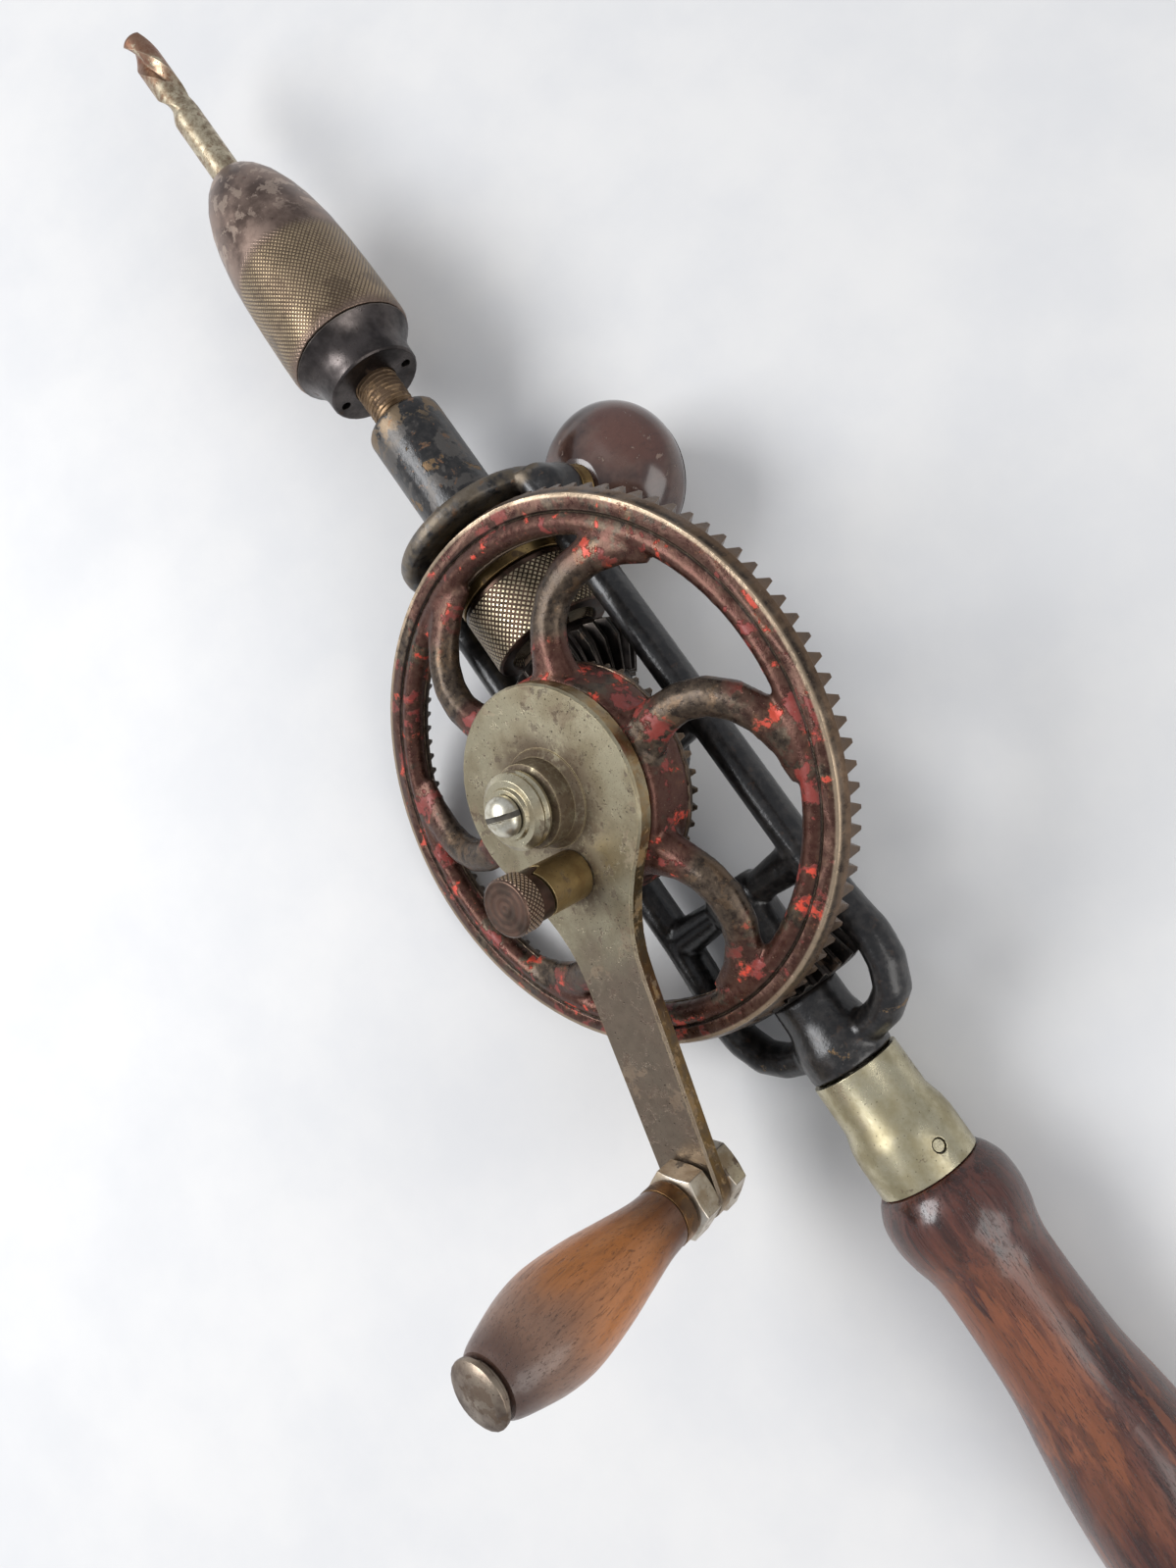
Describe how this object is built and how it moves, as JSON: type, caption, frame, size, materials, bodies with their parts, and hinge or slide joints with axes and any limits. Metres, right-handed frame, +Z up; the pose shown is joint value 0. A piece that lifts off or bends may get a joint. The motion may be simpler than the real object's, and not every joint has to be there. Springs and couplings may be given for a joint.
{
  "type": "two-speed hand drill",
  "caption": "Two-speed hand drill: crank and ratchet on a large spoked gear wheel, open frame, three-jaw chuck with a twist bit, wooden handle and side knob.",
  "frame": {"origin": "floor point under the middle of the object's box, as the drill lies at rest", "axes": "+Z up; +X along the spindle's floor line towards the chuck; +Y away from the crank side, where the wheel's rim touches the floor"},
  "size_m": [0.4434, 0.1316, 0.0847],
  "materials": {
    "axle_collar": "aged nickel plate",
    "axle_screw": "aged steel",
    "axle_stud": "aged steel",
    "chuck_body": "dark steel",
    "chuck_jaw_1": "aged steel",
    "chuck_jaw_2": "aged steel",
    "chuck_jaw_3": "aged steel",
    "chuck_shell": "brown patina over knurled steel",
    "clutch_ring": "dull brass",
    "crank": "aged nickel plate",
    "crank_grip": "orange-brown varnished wood",
    "drill_bit": "pitted bright steel with rust",
    "fast_pinion": "dark cast teeth",
    "ferrule_pin": "aged steel",
    "frame": "black japan, worn brown on the edges",
    "gear_wheel": "brown iron with worn red paint",
    "grip_bolt": "aged steel",
    "grip_button": "aged nickel plate",
    "grip_collar": "dull brass",
    "grip_nut": "aged steel",
    "handle_ferrule": "yellowed nickel plate",
    "handle_tang": "aged steel",
    "idler_pin": "aged steel",
    "idler_pinion": "dark cast teeth",
    "main_handle": "dark red-brown varnish worn to orange wood",
    "ratchet_pawl": "aged steel",
    "ratchet_ring": "aged steel",
    "selector_housing": "dull brass",
    "selector_knob": "aged steel",
    "shift_key": "aged steel",
    "side_knob": "glossy dark brown lacquer",
    "side_knob_ferrule": "dull brass",
    "side_knob_stud": "aged steel",
    "slow_pinion": "dark cast teeth",
    "speed_shifter": "brown knurled steel",
    "spindle": "aged steel",
    "spring_seat": "aged steel",
    "thrust_washer": "dull brass"
  },
  "bodies": {
    "frame": {"frame": "frame", "axle_stud": "axle_stud", "axle_collar": "axle_collar", "axle_screw": "axle_screw", "idler_pin": "idler_pin", "thrust_washer": "thrust_washer", "handle_ferrule": "handle_ferrule", "ferrule_pin": "ferrule_pin", "handle_tang": "handle_tang", "main_handle": "main_handle", "side_knob_stud": "side_knob_stud", "side_knob_ferrule": "side_knob_ferrule", "side_knob": "side_knob"},
    "crank": {"crank": "crank", "selector_housing": "selector_housing", "spring_seat": "spring_seat", "grip_bolt": "grip_bolt", "grip_nut": "grip_nut", "grip_collar": "grip_collar", "grip_button": "grip_button"},
    "wheel": {"gear_wheel": "gear_wheel", "ratchet_ring": "ratchet_ring"},
    "pawl": {"ratchet_pawl": "ratchet_pawl"},
    "selector": {"selector_knob": "selector_knob"},
    "grip": {"crank_grip": "crank_grip"},
    "spindle": {"spindle": "spindle", "shift_key": "shift_key", "chuck_body": "chuck_body", "drill_bit": "drill_bit"},
    "fast_pinion": {"fast_pinion": "fast_pinion", "clutch_ring": "clutch_ring"},
    "slow_pinion": {"slow_pinion": "slow_pinion"},
    "shifter": {"speed_shifter": "speed_shifter"},
    "idler": {"idler_pinion": "idler_pinion"},
    "chuck_shell": {"chuck_shell": "chuck_shell"},
    "jaw_1": {"chuck_jaw_1": "chuck_jaw_1"},
    "jaw_2": {"chuck_jaw_2": "chuck_jaw_2"},
    "jaw_3": {"chuck_jaw_3": "chuck_jaw_3"}
  },
  "joints": [
    {"name": "crank_spin", "type": "hinge", "parent": "frame", "child": "crank", "pos_m": [-0.0097, -0.01694, 0.02222], "axis": [-0.0258, 0.5701, 0.8211], "continuous": true},
    {"name": "wheel_spin", "type": "hinge", "parent": "frame", "child": "wheel", "pos_m": [-0.0097, -0.01694, 0.02222], "axis": [-0.0258, 0.5701, 0.8211], "continuous": true},
    {"name": "spindle_spin", "type": "hinge", "parent": "frame", "child": "spindle", "pos_m": [-0.0097, -0.01694, 0.02222], "axis": [0.9995, 0, 0.0315], "continuous": true},
    {"name": "fast_pinion_spin", "type": "hinge", "parent": "frame", "child": "fast_pinion", "pos_m": [-0.0097, -0.01694, 0.02222], "axis": [0.9995, 0, 0.0315], "continuous": true},
    {"name": "slow_pinion_spin", "type": "hinge", "parent": "frame", "child": "slow_pinion", "pos_m": [-0.0097, -0.01694, 0.02222], "axis": [0.9995, 0, 0.0315], "continuous": true},
    {"name": "idler_spin", "type": "hinge", "parent": "frame", "child": "idler", "pos_m": [-0.0097, -0.01694, 0.02222], "axis": [0.9995, 0, 0.0315], "continuous": true},
    {"name": "grip_spin", "type": "hinge", "parent": "crank", "child": "grip", "pos_m": [-0.09026, 0.00653, 0.00339], "axis": [-0.0258, 0.5701, 0.8211], "continuous": true},
    {"name": "pawl_lift", "type": "slide", "parent": "crank", "child": "pawl", "axis": [-0.0258, 0.5701, 0.8211], "range_m": [0, 0.003]},
    {"name": "selector_turn", "type": "hinge", "parent": "pawl", "child": "selector", "pos_m": [-0.02497, -0.01249, 0.01865], "axis": [-0.0258, 0.5701, 0.8211], "range_deg": [0, 150]},
    {"name": "speed_shift", "type": "slide", "parent": "spindle", "child": "shifter", "axis": [-0.9995, 0, -0.0315], "range_m": [0, 0.00321]},
    {"name": "chuck_shell_turn", "type": "hinge", "parent": "spindle", "child": "chuck_shell", "pos_m": [-0.0097, -0.01694, 0.02222], "axis": [0.9995, 0, 0.0315], "range_deg": [0, 720]},
    {"name": "jaw_1_slide", "type": "slide", "parent": "spindle", "child": "jaw_1", "axis": [-0.9662, -0.1324, -0.2213], "range_m": [0, 0.005]},
    {"name": "jaw_2_slide", "type": "slide", "parent": "spindle", "child": "jaw_2", "axis": [-0.9716, 0.2314, -0.0499], "range_m": [0, 0.005]},
    {"name": "jaw_3_slide", "type": "slide", "parent": "spindle", "child": "jaw_3", "axis": [-0.9788, -0.099, 0.1793], "range_m": [0, 0.005]}
  ],
  "couplings": [
    {"joint": "wheel_spin", "follows": "crank_spin", "ratio": 1},
    {"joint": "spindle_spin", "follows": "crank_spin", "ratio": -3.76},
    {"joint": "fast_pinion_spin", "follows": "crank_spin", "ratio": -3.76},
    {"joint": "slow_pinion_spin", "follows": "crank_spin", "ratio": -1.6667},
    {"joint": "idler_spin", "follows": "crank_spin", "ratio": 3.76},
    {"joint": "pawl_lift", "follows": "selector_turn", "m_per_rad": 0.0011459},
    {"joint": "jaw_1_slide", "follows": "chuck_shell_turn", "m_per_rad": 0.00039789},
    {"joint": "jaw_2_slide", "follows": "chuck_shell_turn", "m_per_rad": 0.00039789},
    {"joint": "jaw_3_slide", "follows": "chuck_shell_turn", "m_per_rad": 0.00039789}
  ]
}
